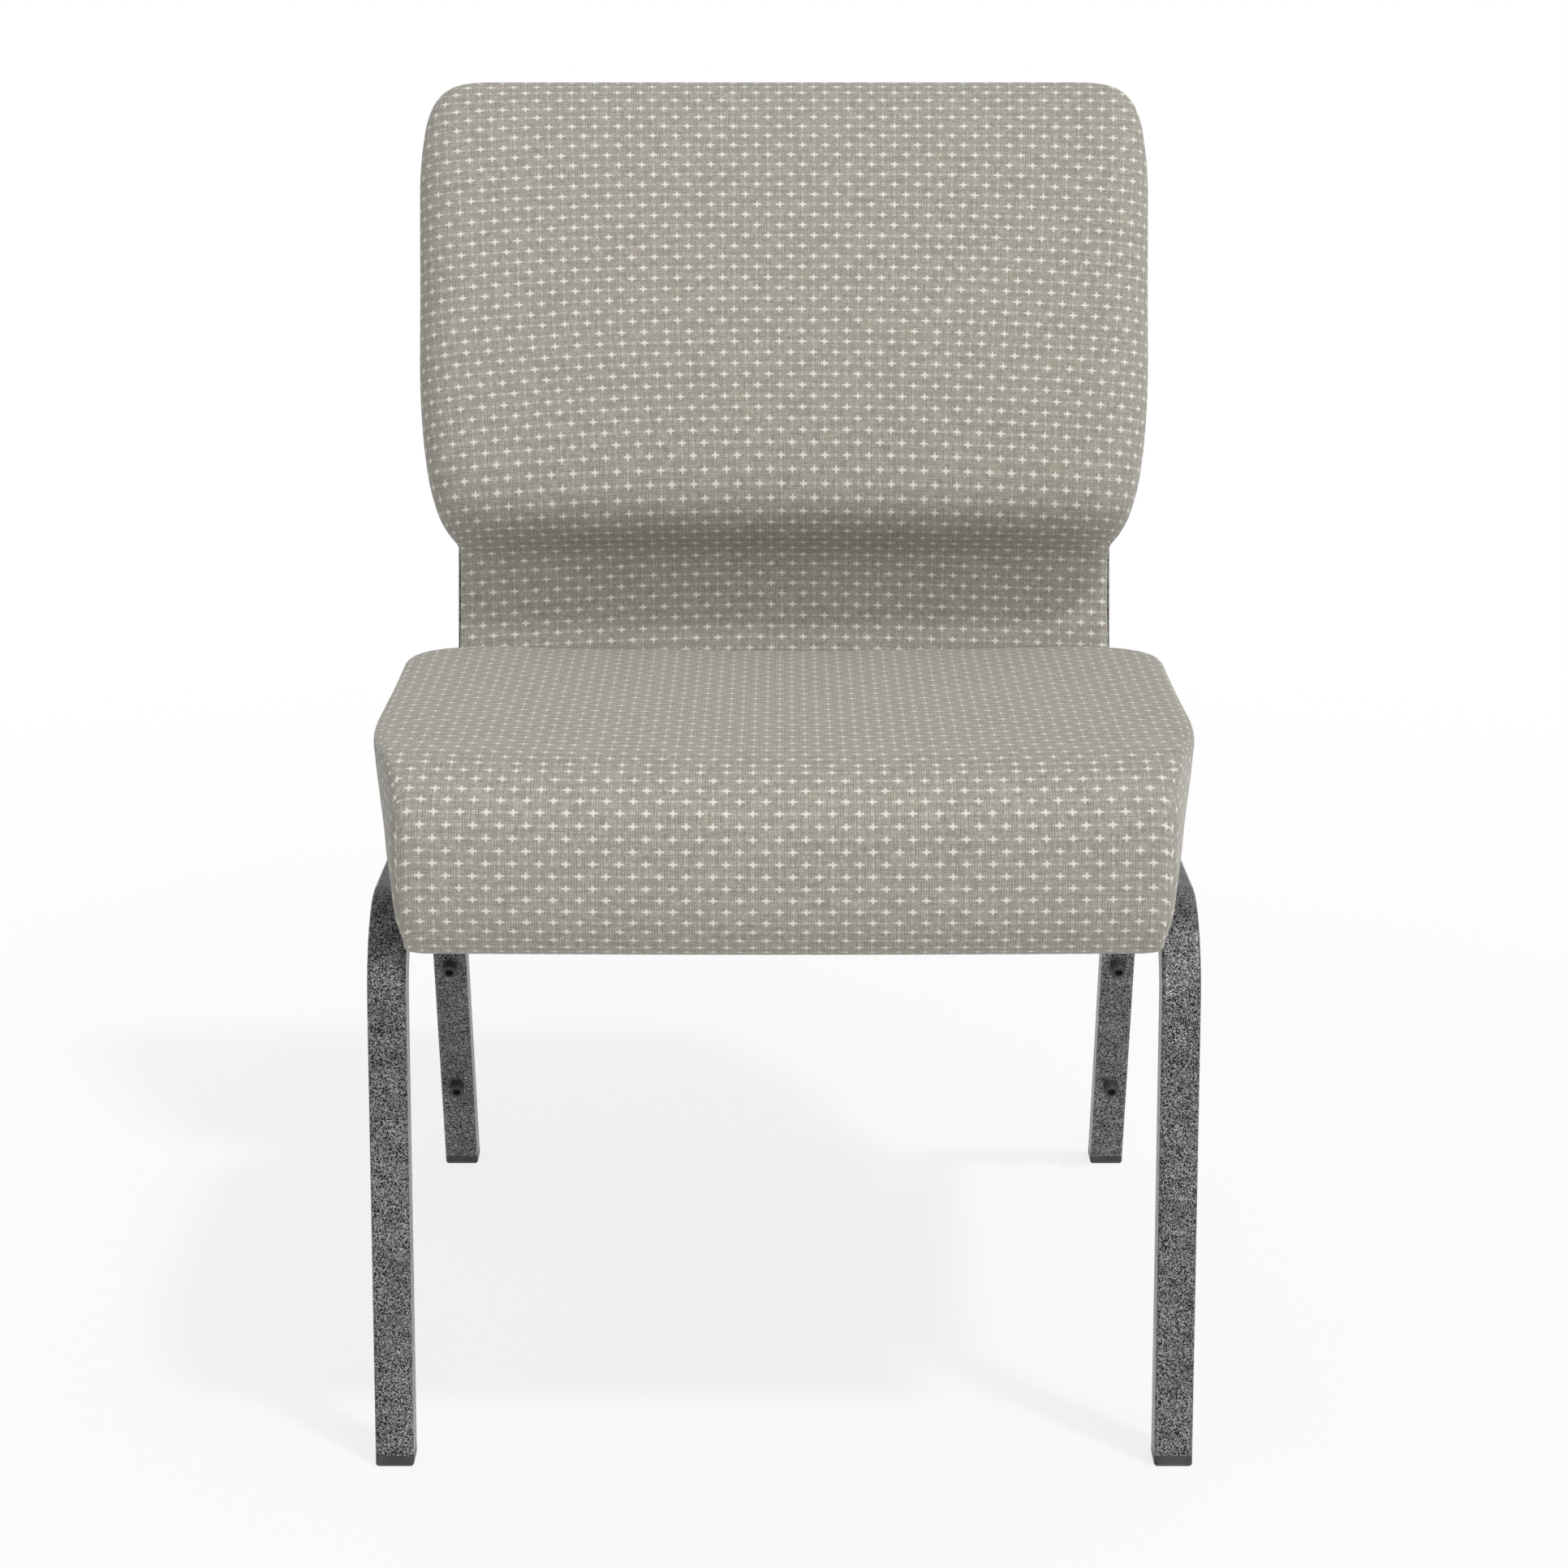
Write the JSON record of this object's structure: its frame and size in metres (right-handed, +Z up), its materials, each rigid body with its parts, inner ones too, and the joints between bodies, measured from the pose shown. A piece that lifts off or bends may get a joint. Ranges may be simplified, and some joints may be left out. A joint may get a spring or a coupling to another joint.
{
  "type": "stackable guest chair",
  "caption": "Armless stacking chair with bent square-tube side frames, a thick upholstered seat set between the rails and an upholstered back on a tube hoop.",
  "frame": {"origin": "on the floor, midway across the chair and midway between its front and rear extremes", "axes": "+Z up, +X to the right of someone facing the chair's front, the chair's front faces -Y"},
  "size_m": [0.538, 0.6454, 0.8471],
  "materials": {
    "frame_finish": "black powder coat with silver veins, glossy",
    "seat_fabric": "warm grey plain weave with a lattice of small off-white stars",
    "back_fabric": "warm grey plain weave with a lattice of small off-white stars",
    "dust_cloth": "black spun-bonded cloth",
    "foam": "open-cell polyurethane foam",
    "plywood": "raw plywood",
    "hardboard": "brown hardboard",
    "black_plastic": "moulded black plastic",
    "bumper_rubber": "black moulded rubber",
    "zinc": "zinc-plated steel"
  },
  "bodies": {
    "root": {"left_side_frame": "frame_finish", "right_side_frame": "frame_finish", "front_crossbar": "frame_finish", "middle_crossbar": "frame_finish", "rear_crossbar": "frame_finish", "back_hoop": "frame_finish", "seat_board": "plywood", "seat_foam": "foam", "seat_cover": "seat_fabric", "seat_dust_cover": "dust_cloth", "seat_tnuts": "zinc", "seat_screws": "zinc", "back_board": "plywood", "back_pad_foam": "foam", "back_panel_foam": "foam", "back_cover": "back_fabric", "outer_back_board": "hardboard", "outer_back_cover": "back_fabric", "back_tnuts": "zinc", "back_screws": "zinc", "outer_back_clips": "black_plastic", "front_left_glide": "black_plastic", "front_right_glide": "black_plastic", "rear_left_glide": "black_plastic", "rear_right_glide": "black_plastic", "upper_left_bumper": "bumper_rubber", "lower_left_bumper": "bumper_rubber", "upper_right_bumper": "bumper_rubber", "lower_right_bumper": "bumper_rubber"}
  },
  "joints": []
}
